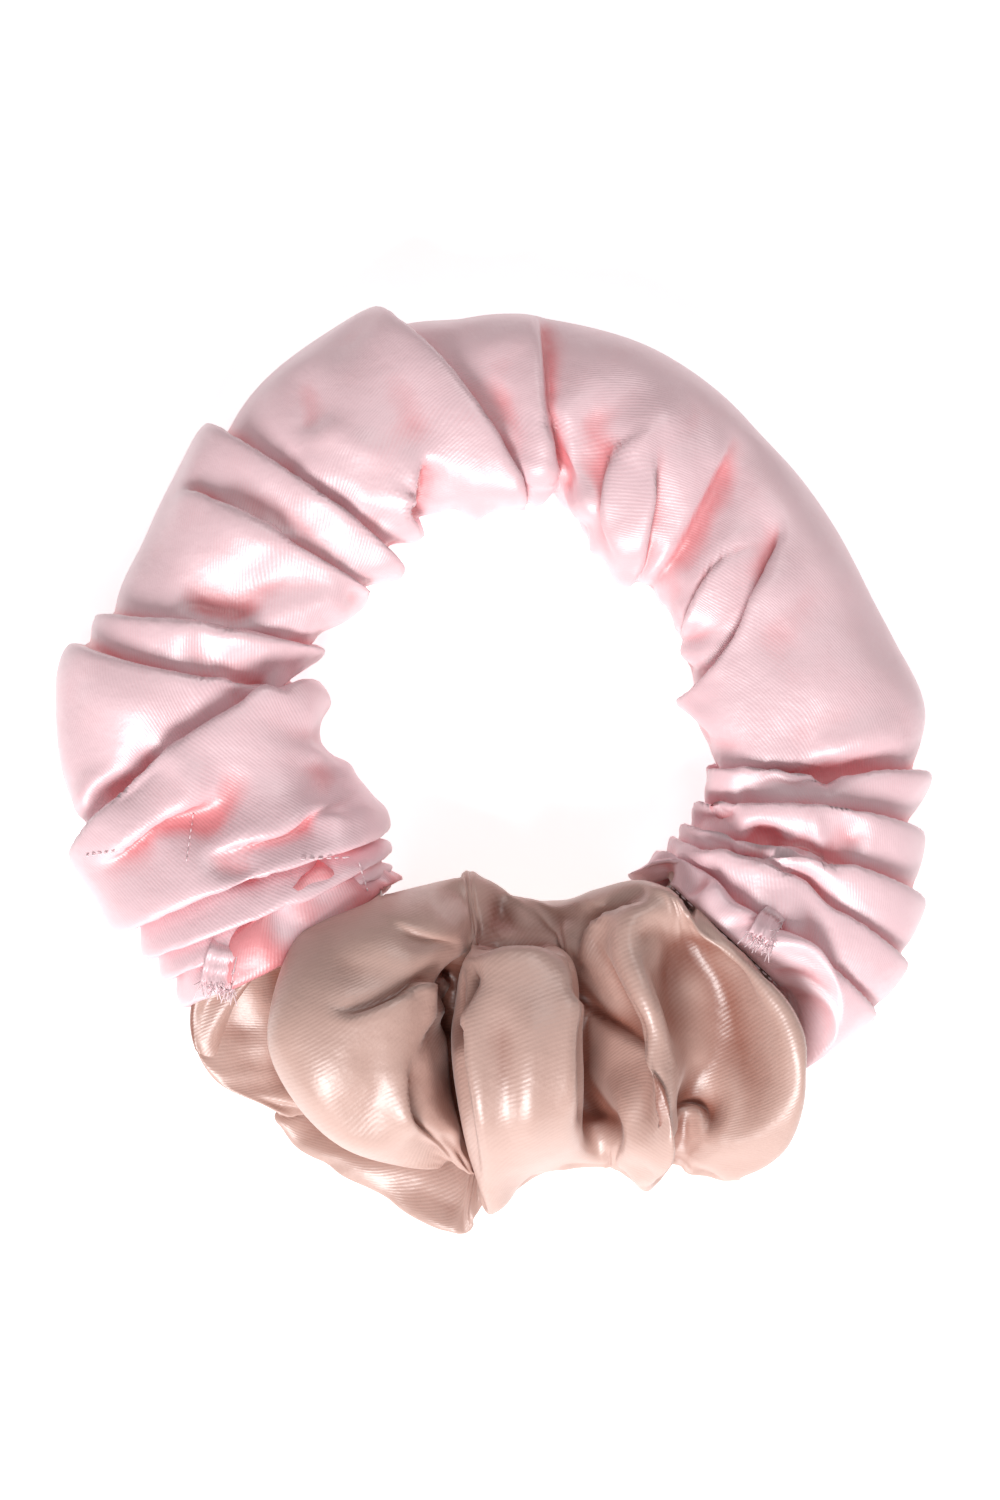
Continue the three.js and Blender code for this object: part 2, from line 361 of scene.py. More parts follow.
# Each pleat: its line's angle at the loop's edge and at the outer edge, its bow, the side that
# covers (1 anticlockwise), (depth, rise, overlap, width of the covering side, width of the
# covered side), and from where to where round the tube it runs.
PINK_FOLDS = [
    ((88, 109), 0, 1, (2.6, 1.2, 2.6, 7, 8), (-0.05, 0.55)),
    ((119, 112), 0, 1, (2.6, 1.0, 2.4, 4, 5), (-0.10, 0.10)),
    ((130, 138), 1, 1, (2.8, 1.6, 3.0, 7, 8), (-0.12, 0.62)),
    ((144, 147), 1, 1, (2.2, 1.2, 2.4, 6, 5), (-0.12, 0.36)),
    ((164, 168), 1, 1, (2.6, 1.0, 2.6, 4, 6), (-0.12, 0.62)),
    ((175, 172.5), 2, 1, (2.6, 1.4, 2.6, 7, 4), (0.02, 0.62)),
    ((178.5, 199), 0, 1, (5.0, 1.8, 3.6, 6, 7), (-0.05, 0.50)),
    ((222, 209), -4, -1, (4.0, 1.5, 3.4, 7, 5), (-0.05, 0.60)),
    ((229, 214), -2, -1, (2.6, 1.2, 2.8, 4, 4), (-0.05, 0.62)),
    ((234, 218), -2, -1, (2.2, 1.0, 2.4, 3, 4), (-0.05, 0.62)),
    ((81, 86), 0, 1, (2.4, 1.2, 0.4, 5, 6), (-0.05, 0.42)),
    ((46, 66), 3, 1, (2.0, 1.2, 2.0, 6, 6), (-0.10, 0.20)),
    ((41, 52), 0, 1, (1.6, 0.6, 0.3, 6, 6), (0.0, 0.32)),
    ((2, 40), 3, -1, (2.2, 1.6, 2.2, 5, 6), (-0.05, 0.28)),
    ((-19, -9), 0, -1, (3.6, 1.2, 2.8, 4, 8), (-0.12, 0.62)),
    ((-29, -17), 3, -1, (3.2, 1.2, 2.8, 4, 4), (-0.05, 0.60)),
    ((-36, -25), 3, -1, (2.8, 1.2, 2.6, 4, 4), (-0.05, 0.60)),
    ((-41, -33), 3, -1, (2.6, 1.0, 2.4, 3, 3), (-0.05, 0.60)),
    ((-46, -40), 2, -1, (2.4, 1.0, 2.2, 3, 3), (-0.05, 0.60)),
]


class Value:
    """A node's output that can be added, subtracted and multiplied."""

    def __init__(self, tree, socket):
        self.tree = tree
        self.socket = socket

    def node(self, kind, settings=None, inputs=None):
        """A new node of a kind, with its settings and its sockets' values or links."""
        made = self.tree.nodes.new(kind)
        for key, value in (settings or {}).items():
            setattr(made, key, value)
        for key, value in (inputs or {}).items():
            if isinstance(value, Value):
                self.tree.links.new(value.socket, made.inputs[key])
            else:
                made.inputs[key].default_value = value
        return made

    def noise(self, place, scale, detail):
        """A noise texture's value at a place."""
        inputs = {"Vector": place, "Scale": scale, "Detail": detail}
        return Value(self.tree, self.node("ShaderNodeTexNoise", inputs=inputs).outputs["Fac"])

    def mix(self, low, high):
        """The colour between two that this value stands for, from 0 to 1."""
        settings = {"data_type": "RGBA", "clamp_factor": True}
        return self.node("ShaderNodeMix", settings, {0: self, 6: (*low, 1), 7: (*high, 1)}).outputs[2]

    def bump(self, distance, strength):
        """The surface direction where this value is the height."""
        inputs = {"Height": self, "Distance": distance, "Strength": strength}
        return self.node("ShaderNodeBump", inputs=inputs).outputs["Normal"]

    def math(self, operation, *values):
        """A Math node's result; the operators below use it."""
        made = self.node("ShaderNodeMath", {"operation": operation}, dict(enumerate(values)))
        return Value(self.tree, made.outputs[0])

    def __add__(self, other):
        return self.math("ADD", self, other)

    def __sub__(self, other):
        return self.math("SUBTRACT", self, other)

    def __mul__(self, other):
        return self.math("MULTIPLY", self, other)

    def __rsub__(self, other):
        return self.math("SUBTRACT", other, self)

    __radd__ = __add__
    __rmul__ = __mul__


def shaded(name):
    """A new material, its shader, and a value that nodes are made from."""
    made = bpy.data.materials.new(name)
    made.use_nodes = True
    return made, made.node_tree.nodes["Principled BSDF"], Value(made.node_tree, None)


def on_cloth(start):
    """The two coordinates on the cloth, along the tube and round it, in metres."""
    cloth = start.node("ShaderNodeUVMap", {"uv_map": "cloth"})
    place = Value(start.tree, cloth.outputs["UV"])
    split = start.node("ShaderNodeSeparateXYZ", inputs={"Vector": place})
    return Value(start.tree, split.outputs["X"]), Value(start.tree, split.outputs["Y"])


def in_space(start):
    """The place on the object."""
    return Value(start.tree, start.node("ShaderNodeTexCoord").outputs["Object"])


TWILL_PITCH = 0.0005     # from one of the weave's slanting lines to the next, in metres
TWILL_TURNS = 2 * math.pi / TWILL_PITCH
TWILL_SLANT = math.radians(63)
CLOUDS = 160.0           # noise scales: the cloth's broad unevenness,
SLUBS = 420.0            # its thicker yarns
GRIT = 2600.0            # and its finest grain


def satin(name, pale, crease_shade_colour):
    """Satin: pale, with painted shade that deepens its colour in its creases and pockets, a fine slanting
    weave that shows as lines, a broad soft gloss, and small unevenness in both."""
    made, shader, start = shaded(name)
    tree = made.node_tree
    u, v = on_cloth(start)
    spot = in_space(start)
    cloud = start.noise(spot, CLOUDS, 3.0)
    grit = start.noise(spot, GRIT, 2.0)
    along_u = TWILL_TURNS * math.cos(TWILL_SLANT)
    along_v = TWILL_TURNS * math.sin(TWILL_SLANT)
    across = u * along_u + v * along_v + cloud * 3.0
    twill = across.math("SINE", across) * 0.5 + 0.5
    # Painted shade: each point's crease and pocket value from the mesh pulls the colour towards the second,
    # darker and redder colour; cloud, twill and grit below add the cloth's own uneven tone and weave.
    crease_shade_node = start.node("ShaderNodeAttribute", {"attribute_name": "crease"})
    crease = Value(tree, crease_shade_node.outputs["Fac"])
    slub = start.noise(spot, SLUBS, 2.0)
    depth = crease + (cloud - 0.5) * 0.35 + (twill - 0.5) * 0.13 + (grit - 0.5) * 0.2
    tree.links.new(depth.mix(pale, crease_shade_colour), shader.inputs["Base Color"])
    tree.links.new((0.33 + cloud * 0.1 + grit * 0.08).socket, shader.inputs["Roughness"])
    relief = twill * 0.65 + grit * 0.8 + slub * 5.0
    tree.links.new(relief.bump(0.00004, 0.7), shader.inputs["Normal"])
    shader.inputs["Specular IOR Level"].default_value = 1.0
    shader.inputs["Coat Weight"].default_value = 0.25
    shader.inputs["Coat Roughness"].default_value = 0.3
    shader.inputs["Sheen Weight"].default_value = 0.15
    shader.inputs["Sheen Roughness"].default_value = 0.4
    return made


def blurred(grid, along, round_tube):
    """Each point's average over a window of rows and columns, closed round the tube."""
    for width, axis, mode in ((along, 0, "edge"), (round_tube, 1, "wrap")):
        pad = [(0, 0)] * 3
        pad[axis] = (width, width)
        total = np.cumsum(np.pad(grid, pad, mode=mode), axis=axis)
        size = grid.shape[axis]
        high = np.take(total, np.arange(size) + 2 * width, axis=axis)
        low = np.take(total, np.arange(size), axis=axis)
        grid = (high - low) / (2 * width)
    return grid


def cloth_mesh(name, grid, ends_closed=False):
    """A tube's grid as one mesh, faces out, with its cloth coordinates in metres.

    A closed end is a strip of faces from one half of the last ring to the other half.
    """
    rows, cols = grid.shape[:2]
    mesh = bpy.data.meshes.new(name)
    index = np.arange(rows * cols).reshape(rows, cols)
    a, b = index[:-1], index[1:]
    quads = np.stack([a, np.roll(a, -1, 1), np.roll(b, -1, 1), b], -1).reshape(-1, 4)
    if ends_closed:
        k = np.arange(cols // 2 - 1)
        strip = np.stack([k, cols - 1 - k, cols - 2 - k, k + 1], -1)
        quads = np.concatenate([quads, strip, strip[:, ::-1] + (rows - 1) * cols])
    mesh.from_pydata((grid.reshape(-1, 3) * MM).tolist(), [], quads.tolist())
    step_s = np.linalg.norm(np.diff(grid, axis=0), axis=-1).mean(1) * MM
    step_t = np.linalg.norm(np.roll(grid, -1, 1) - grid, axis=-1).mean() * MM
    along = np.concatenate([[0], np.cumsum(step_s)])
    r, c = np.divmod(quads, cols)
    lap = (c == 0) & (c.max(1, keepdims=True) == cols - 1)
    uv = np.stack([along[r], (c + lap * cols) * step_t], -1)
    mesh.uv_layers.new(name="cloth").data.foreach_set("uv", uv.astype(np.float32).ravel())
    mesh.shade_smooth()
    out = facing(grid)
    # Painted shade: each point's depth below its blurred neighbours, in narrow creases and wide pockets, is
    # kept on the mesh, and the satin darkens and reddens its colour by it.
    narrow, middling, wide = (((blurred(grid, k, k) - grid) * out).sum(-1) for k in (2, 5, 12))
    crease = np.clip((narrow + middling) / 2 * CREASE_SHADE_GAIN + np.maximum(wide, 0) * POCKET_SHADE_GAIN, 0, 1)
    crease_shade_layer = mesh.attributes.new("crease", "FLOAT", "POINT")
    crease_shade_layer.data.foreach_set("value", crease.ravel().astype(np.float32))
    obj = bpy.data.objects.new(name, mesh)
    scene.collection.objects.link(obj)
    return obj


def facing(grid):
    """Each point's outward direction, from the blurred grid."""
    soft = blurred(grid, 3, 3)
    out = np.cross(np.roll(soft, -1, 1) - np.roll(soft, 1, 1), np.gradient(soft, axis=0))
    return out / (np.linalg.norm(out, axis=-1, keepdims=True) + 1e-9)


LINE_FADE = 0.4          # the share of a drawn line in which its fold runs out, at each end
UPWARD = 2.5             # how fast drawn folds come in as the cloth turns to face up
SOFTENING = 0.6          # how far drawn folds are smoothed towards their neighbours


def near_line(grid, corners, reach):
    """Where the points lie beside a line drawn on the cloth from above.

    Returns the indices of those within reach, their distance to its left, the line's own left
    direction beside them, and a weight that fades out at both ends of the line.
    """
    line = spline(np.array(corners, float), 25 * (len(corners) - 1) + 1, False)
    along = np.gradient(line, axis=0)
    along /= np.linalg.norm(along, axis=-1, keepdims=True)
    low, high = line.min(0) - reach, line.max(0) + reach
    plan = grid[..., :2]
    inside = np.nonzero(((plan > low) & (plan < high)).all(-1))
    apart = plan[inside][:, None, :] - line[None, :, :]
    nearest = (apart**2).sum(-1).argmin(1)
    beside = apart[np.arange(len(nearest)), nearest]
    left = np.stack([-along[nearest, 1], along[nearest, 0]], -1)
    away = (beside * left).sum(-1)
    beyond = np.linalg.norm(beside - left * away[:, None], axis=-1)
    share = nearest / (len(line) - 1)
    fade = smooth(share / LINE_FADE) * smooth((1 - share) / LINE_FADE) * np.exp(-((beyond / 2) ** 2))
    return inside, away, left, fade


def with_lines(grid, laps, waves):
    """A tube's points with more folds in its upper cloth, each along a line drawn from above.

    A lap has the same shape as a pleat, and covers what lies to the left of its line. A wave moves
    the cloth outwards by height * exp(-(d/width)^2), with one width to the left of its line and
    another to the right.
    """
    grid = grid.copy()
    for corners, height, left_width, right_width in waves:
        out = facing(grid)
        at, d, _, fade = near_line(grid, corners, 2.5 * max(left_width, right_width))
        width = np.where(d > 0, left_width, right_width)
        amount = height * np.exp(-((d / width) ** 2)) * fade * smooth(out[at][:, 2] * UPWARD)
        grid[at] += amount[:, None] * out[at]
    for corners, sizes in laps:
        out = facing(grid)
        at, d, left, fade = near_line(grid, corners, 3 * max(sizes[3:]))
        swell, push = fold(d, *sizes)
        weight = fade * smooth(out[at][:, 2] * UPWARD)
        grid[at] += (weight * swell)[:, None] * out[at]
        grid[at + (slice(0, 2),)] += (weight * push)[:, None] * left
    grid = grid + (blurred(grid, 1, 1) - grid) * SOFTENING
    grid[..., 2] = on_table(grid[..., 2])
    return over_elastic(grid)


DRAPE_SCALE = 20         # the simulation is run on cloth this many times larger
DRAPE_FRAMES = 10
DRAPE_GROWTH = 0.025     # the share by which the cloth grows in it
DRAPE_STIFFNESS = 4      # how much the cloth resists bending
DRAPE_HOLD = 0.15        # how firmly it is held in its place away from its ends


def draped(grid):
    """The cloth's points after a short cloth simulation of every second one of them.

    The cloth grows by a share of its own size while it is held lightly in its place and firmly at
    both ends, so that it buckles into small folds; then the movement is splined back to all points.
    """
    coarse = grid[::2, ::2]
    rows, columns = coarse.shape[:2]
    piece = cloth_mesh("cloth_to_drape", coarse)
    place = (coarse.reshape(-1, 3) * MM * DRAPE_SCALE).astype(np.float32)
    piece.data.vertices.foreach_set("co", place.ravel())
    held = piece.vertex_groups.new(name="held")
    index = np.arange(rows * columns).reshape(rows, columns)
    held.add(index[2:-2].ravel().tolist(), DRAPE_HOLD, "REPLACE")
    held.add(index[[0, 1, -2, -1]].ravel().tolist(), 1.0, "REPLACE")
    cloth = piece.modifiers.new("drape", "CLOTH")
    cloth.settings.quality = 4
    cloth.settings.mass = 0.3
    cloth.settings.tension_stiffness = 15
    cloth.settings.compression_stiffness = 15
    cloth.settings.shear_stiffness = 5
    cloth.settings.bending_stiffness = DRAPE_STIFFNESS
    cloth.settings.air_damping = 2
    cloth.settings.vertex_group_mass = "held"
    cloth.settings.pin_stiffness = 1.0
    cloth.settings.shrink_min = -DRAPE_GROWTH
    cloth.settings.shrink_max = -DRAPE_GROWTH
    cloth.settings.effector_weights.gravity = 0.1
    cloth.collision_settings.use_collision = False
    cloth.collision_settings.use_self_collision = True
    cloth.collision_settings.self_distance_min = 0.008
    cloth.collision_settings.collision_quality = 2
    cloth.point_cache.frame_start = 1
    cloth.point_cache.frame_end = DRAPE_FRAMES
    for step in range(1, DRAPE_FRAMES + 1):
        scene.frame_set(step)
    shaped = piece.evaluated_get(bpy.context.evaluated_depsgraph_get()).to_mesh()
    after = np.zeros(len(place) * 3, np.float32)
    shaped.vertices.foreach_get("co", after)
    bpy.data.objects.remove(piece)
    scene.frame_set(1)
    moved = (after.reshape(-1, 3) - place).reshape(rows, columns, 3) / (MM * DRAPE_SCALE)
    moved = blurred(moved, 1, 1)
    moved = spline(moved, 2 * rows - 1, False)
    moved = spline(moved.transpose(1, 0, 2), 2 * columns, True).transpose(1, 0, 2)
    shaped_grid = grid + moved
    shaped_grid[..., 2] = on_table(shaped_grid[..., 2])
    return over_elastic(shaped_grid)


# Small laps, each a line from the object's middle and a pleat's five sizes, and small waves, each a
# line, a height, and a width to its left and to its right.
PINK_LAPS = [
    ([(-12, 53), (-14.5, 47), (-15, 40)], (2.5, 1.0, 1.5, 3, 4)),
    ([(-48, 17), (-40, 14), (-33, 12.5)], (1.5, 0.8, 1.0, 2.5, 3)),
    ([(-40, 11), (-45, 15), (-47, 14.5)], (1.2, 0.6, 0.6, 2, 2)),
    ([(-24, -4), (-31, -6.5), (-36, -10), (-44, -12), (-51, -15)], (2.4, 1.2, 1.6, 3, 4)),
    ([(-46, -4), (-50.5, -5.5), (-56, -7.6), (-60, -10.5), (-64, -13.5), (-68, -15)], (2.2, 1.2, 1.6, 3, 4)),
    ([(9, 60), (8.5, 50), (11, 43)], (2.0, 1.0, 1.0, 3, 5)),
    ([(20, 34), (17, 42), (19, 52), (26, 57)], (1.2, 1.2, 1.0, 3, 4)),
    ([(30, 15), (31, 25), (36, 34), (44, 38)], (1.4, 1.4, 1.4, 3, 4)),
    ([(39, -15), (46, -13), (53, -14), (58, -17)], (1.8, 1.0, 1.0, 3, 3)),
    ([(28, -14), (38, -13), (48, -17), (60, -26)], (1.8, 1.2, 1.2, 2.5, 3)),
]
PINK_WAVES = [
    ([(-33, 68), (-31, 60), (-30, 55)], -1.4, 3.5, 3.0),
    ([(-32, 58), (-25, 55), (-18, 50)], 1.2, 2.5, 3.5),
    ([(-34, 52), (-25, 48), (-19, 42)], 1.3, 3.0, 4.0),
    ([(-21, 72), (-15, 60), (-13, 52)], -1.2, 4.0, 4.0),
    ([(-48, 45), (-40, 41), (-33, 38)], 1.4, 2.0, 4.5),
    ([(-55, 32), (-42, 30), (-33, 33)], -1.3, 3.5, 3.0),
    ([(-60, 28), (-52, 25), (-42, 24), (-33, 22)], 1.4, 2.5, 3.5),
    ([(-54, 28.5), (-46, 27), (-38, 27)], -1.2, 1.8, 1.8),
    ([(-70, 15), (-62, 12), (-52, 10)], 1.3, 4.0, 5.0),
    ([(-66, 2), (-58, 1), (-50, 5)], 1.2, 4.0, 3.5),
    ([(-54, 3), (-60, 0), (-68, -5)], -2.6, 3.5, 3.5),
    ([(-58, 2.5), (-66, 0), (-69, -4), (-70, -10)], 1.6, 1.5, 1.5),
    ([(-57, -10), (-51, -7), (-46, -5)], -1.8, 2.4, 2.4),
    ([(-43, 1), (-45, -5), (-49, -10), (-51, -15)], -1.6, 3.0, 2.5),
    ([(-49, 3), (-51, -3), (-55, -7)], 1.2, 3.0, 3.0),
    ([(-49, -14), (-44, -16), (-38, -18)], -1.4, 2.2, 2.2),
    ([(-37, 5), (-30, 0), (-26, -3)], -1.0, 5.0, 4.0),
    ([(-32, -9), (-28, -8), (-25, -10)], 1.4, 1.8, 2.2),
    ([(0, 62), (4, 52), (5, 45)], 1.3, 3.0, 3.5),
    ([(-2, 66), (2, 58), (3, 50)], -1.0, 2.0, 2.0),
    ([(11, 68), (11, 55), (14, 44), (18, 36)], 1.6, 3.0, 3.0),
    ([(18, 64), (15, 54), (17, 45)], -1.0, 3.5, 3.5),
    ([(32, 60), (25, 57), (20, 51)], 1.5, 3.0, 4.0),
    ([(38, 52), (34, 44), (28, 30)], -1.2, 3.5, 4.0),
    ([(44, 40), (37, 37), (32, 30), (30, 20)], 1.5, 1.6, 3.0),
    ([(50, 34), (42, 28), (38, 20)], 0.9, 3.0, 3.0),
    ([(50, 25), (42, 20), (36, 12)], -0.9, 5.0, 5.0),
    ([(67, 9), (58, 5), (52, 2)], 1.3, 3.5, 3.0),
    ([(36, 2), (44, 1), (52, 3)], 1.0, 3.0, 2.5),
    ([(38, -1), (52, 0), (64, 3)], -2.0, 2.0, 2.0),
    ([(31, -5), (36, -7), (40, -7)], -2.6, 2.5, 3.0),
    ([(41, -9), (44, -11), (47, -10)], -2.4, 1.6, 1.6),
    ([(52, -5), (53, -10), (55, -13)], 0.9, 1.4, 1.4),
    ([(57, -5), (58, -10), (61, -12)], -1.4, 3.0, 3.0),
]

PINK_ROWS = 361
PINK_COLUMNS = 132
pink_necks = (
    (ring((37.5, -27.5, 13), -43, 12.5, 10, PINK_COLUMNS), (2, 2, 2)),
    (ring((-36, -21, 12), 222, 12, 9, PINK_COLUMNS), (-2, 2, 1)),
)
pink_grid = sleeve_points(
    ((-55.5, 238.5), (-52, 223)),
    PINK_OUTLINE,
    PINK_HEIGHTS,
    PINK_FOLDS,
    pink_necks,
    PINK_ROWS,
    PINK_COLUMNS,
)
pink_grid = with_lines(pink_grid, PINK_LAPS, PINK_WAVES)
pink_grid = draped(pink_grid)
pink = cloth_mesh("pink_satin_sleeve", pink_grid)
CLOTH_THICKNESS = 0.25


def finish_sleeve(piece, material, node):
    """Gives a sleeve its satin and the cloth's thickness, inwards, and hides the model's part that it
    replaces.
    """
    piece.data.materials.append(material)
    thick = piece.modifiers.new("cloth_thickness", "SOLIDIFY")
    thick.thickness = CLOTH_THICKNESS * MM
    thick.offset = -1
    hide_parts(node)


# The second colour is painted shade: what the pink darkens to in its creases and pockets.
pink_satin = satin("pink_satin", (0.88, 0.60, 0.64), (0.82, 0.27, 0.29))
finish_sleeve(pink, pink_satin, "pink_sleeve")


# ---- Beige sleeve ----
# A shorter and fuller tube of the same weight of satin, over the last quarter of the ring. It is
# gathered so tightly that it stands in five lobes with pockets between them, with one lobe and a flap
# of its cloth lying out behind them. Its two ends are drawn in to necks inside the pink mouths.

# Rings from the left neck to the right one. Each is the tube's upper line from the loop's edge
# to the outer edge.
BEIGE_RINGS = [
    [(-27, -11, 10), (-31, -14, 16), (-35, -18, 18), (-39, -22, 18), (-43, -25, 15), (-46, -28, 10)],
    [(-19, -16, 10), (-24, -20, 16), (-30, -25, 17), (-37, -30, 17), (-43, -34, 14), (-46, -37, 8)],
    [(-21, -18, 9), (-35, -27, 13), (-45, -33, 17), (-51, -41, 17), (-49, -52, 12), (-39, -58, 5)],
    [(-19, -19, 9), (-29, -26, 12), (-36, -36, 8), (-37, -45, 7), (-35, -53, 6), (-31, -59, 5)],
    [(-20, -19, 10), (-32, -27, 21), (-37, -39, 28), (-35.5, -50.5, 26), (-26.5, -62, 18), (-14.5, -67, 7)],
    [(-19, -21, 18), (-22, -27, 27), (-26, -39, 32), (-21, -51, 31), (-15, -61, 22), (-9, -66, 9)],
    [(-12, -20, 18), (-10, -27, 25), (-12, -36, 27), (-11, -49, 22), (-8, -61, 17), (-5, -68, 8)],
    [(-7, -18, 13), (-5, -28, 15), (-7, -40, 8), (-8, -47, 7), (-6, -58, 9), (-4, -68, 6)],
    [(-4, -17, 10), (-3, -28, 16), (-5, -32, 27), (-6, -44, 30), (-5, -59, 27), (-2, -74, 8)],
    [(3, -21, 10), (8, -28, 16), (11, -32, 27), (12, -44, 30), (11, -58, 26), (6, -68, 10)],
    [(10, -22, 15), (13, -31, 17), (15, -40, 12), (14, -51, 8), (15, -59, 12), (16, -67, 8)],
    [(15, -20, 20), (17, -29, 22), (21, -39, 24), (24, -47, 24), (22, -58, 19), (20, -68, 8)],
    [(21, -18, 22), (22, -29, 27), (26, -44, 29), (28, -56, 27), (27, -66, 19), (25, -72, 7)],
    [(26, -19, 25), (28, -29, 22), (30, -44, 19), (31, -54, 13), (31, -63, 10), (30, -68, 7)],
    [(30, -21, 25), (34, -29, 20), (38, -42, 17), (39, -54, 16), (37, -63, 13), (34, -70, 7)],
    [(33, -23, 23), (41, -31, 26), (48, -41, 26), (50, -52, 24), (48, -63, 16), (42, -70, 6)],
    [(29, -19, 10), (37, -28, 13), (45, -40, 9), (46, -49, 7), (44, -56, 5), (40, -62, 4)],
    [(26, -19, 10), (30, -24, 16), (34, -28, 18), (38, -32, 17), (42, -37, 13), (44, -41, 8)],
    [(28, -14, 10), (31, -17, 16), (35, -20, 18), (39, -24, 18), (43, -28, 15), (46, -31, 9)],
]


def close_ring(upper, flap):
    """A whole ring: the upper line, then the flap below it if it has one, then the cloth beneath."""
    top = np.array(upper, float)
    inner, outer = top[0], top[-1]
    if flap is None:
        tuck = outer + (inner - outer) * 0.02 - (0, 0, outer[2] * 0.35)
        hem = outer + (inner - outer) * 0.05 - (0, 0, outer[2] * 0.6)
    else:
        hem = np.array([*flap, 2.5])
        tuck = outer + (inner - outer) * 0.12
        tuck[2] = 4.5
    under = [tuck, hem]
    for share, height in ((0.08, 1.2), (0.33, 0.6), (0.67, 0.6), (0.92, 1.5)):
        p = hem + (inner - hem) * share
        under.append((p[0], p[1], height))
    return np.concatenate([top, under])


# How far the cloth beneath comes out from under the rings, from the fourth to the eighth.
BEIGE_FLAP = [(-39.0, -60.0), (-31.5, -67.5), (-19.5, -73.5), (-9.5, -77.6), (-4.5, -77.0)]


def loft(rings, flaps, along_steps, round_steps):
    """A tube's grid through its rings: a closed spline round each ring, then an open one along."""
    control = np.stack([close_ring(upper, flap) for upper, flap in zip(rings, flaps)])
    columns = spline(control.transpose(1, 0, 2), round_steps, True)
    return spline(columns.transpose(1, 0, 2), along_steps, False)


# Its laps and waves, in the same form as the pink sleeve's.
BEIGE_LAPS = [
    ([(-20.5, -23), (-14.5, -25.7), (-9, -27.4), (-5.5, -29)][::-1], (1.6, 0.8, 1.0, 2.5, 2.5)),
    (
        [
            (-29, -37.2),
            (-24, -39.2),
            (-16.5, -37.2),
            (-12.5, -35.2),
            (-9.7, -36.8),
            (-10.7, -41.6),
            (-14.5, -47),
        ],
        (3.6, 1.8, 2.2, 3, 3),
    ),
    ([(-14.5, -46), (-15.4, -53.7), (-14, -59), (-10, -63)], (2.0, 1.6, 1.2, 4, 4)),
    ([(-2.9, -70), (-4.4, -55), (-5.6, -41.6), (-5.3, -31)], (3.0, 1.6, 1.6, 3, 3)),
    ([(-5.5, -31), (3, -30.2), (11.5, -31)], (3.0, 1.6, 1.6, 3, 3)),
    ([(10.9, -29.5), (11.2, -36.8), (11.2, -51), (12.5, -58)], (2.6, 1.6, 1.6, 3, 3)),
    ([(10, -35), (17.3, -41.9), (26, -48)], (2.4, 1.4, 1.2, 2.5, 3)),
    ([(25.5, -45), (27.7, -57.7), (27.7, -64.5), (26, -70)], (2.6, 1.4, 1.4, 2.5, 3)),
    ([(13.5, -32), (14.6, -26.7), (17.3, -23.4), (24.7, -19)], (2.2, 1.2, 1.2, 2.5, 3)),
    ([(27, -60), (31, -56.5), (34, -57.5), (35, -62)], (2.6, 1.6, 1.4, 2, 2.5)),
]
BEIGE_WAVES = [
    ([(-4.6, -31), (-7, -36), (-9, -41)], -5.0, 2.2, 2.2),
    ([(-9.5, -42), (-6, -43)], -4.0, 2.2, 2.2),
    ([(-24, -42), (-20, -50), (-17, -58)], -1.8, 4.0, 4.0),
    ([(-33, -45), (-27, -57), (-16, -64)], 1.4, 3.5, 3.5),
    ([(-30, -30), (-22, -32), (-14, -32)], -1.2, 3.0, 3.0),
    ([(-1, -36), (0, -50), (1, -66)], -1.1, 3.0, 3.0),
    ([(5, -36), (4, -50), (4, -66)], 1.1, 2.6, 2.6),
    ([(12.5, -52), (16, -57), (20, -62)], -3.0, 2.5, 2.5),
    ([(19, -48), (22, -58), (24, -67)], 1.5, 2.0, 2.0),
    ([(28, -21), (22, -23.5), (20.7, -28.8), (22.7, -34.8), (25.4, -42.9), (27, -52)], 2.4, 1.5, 2.0),
    ([(31, -26), (29, -36), (31, -48)], -2.2, 4.0, 3.5),
    ([(40, -28), (47, -40), (48, -52)], 1.5, 4.0, 3.5),
    ([(36, -30), (37, -42), (40, -54)], -1.0, 4.0, 4.0),
    ([(11, -24), (12, -28), (14, -33)], 1.5, 2.0, 2.0),
    ([(0, -19), (1, -24), (2, -29)], -2.0, 2.0, 2.0),
    ([(-44, -34), (-41, -44), (-42, -54)], 1.4, 3.5, 2.5),
]

flaps = [None] * 3 + BEIGE_FLAP + [None] * (len(BEIGE_RINGS) - 8)
BEIGE_ROWS = 301
BEIGE_COLUMNS = 150
beige_grid = loft(BEIGE_RINGS, flaps, BEIGE_ROWS, BEIGE_COLUMNS)
beige_grid[..., 2] = on_table(beige_grid[..., 2])
beige_grid = with_lines(beige_grid, BEIGE_LAPS, BEIGE_WAVES)
beige_grid = draped(beige_grid)
beige = cloth_mesh("beige_satin_sleeve", beige_grid)
# The second colour is painted shade: what the beige darkens to in its creases and pockets.
beige_satin = satin("beige_satin", (0.57, 0.36, 0.305), (0.30, 0.11, 0.075))
finish_sleeve(beige, beige_satin, "beige_sleeve")


# ---- Raw seam edges ----
# The ends of the seam allowances, two layers of the pink satin that come out of each join. They were
# cut off raw, so single threads have worked loose from their cut edges.


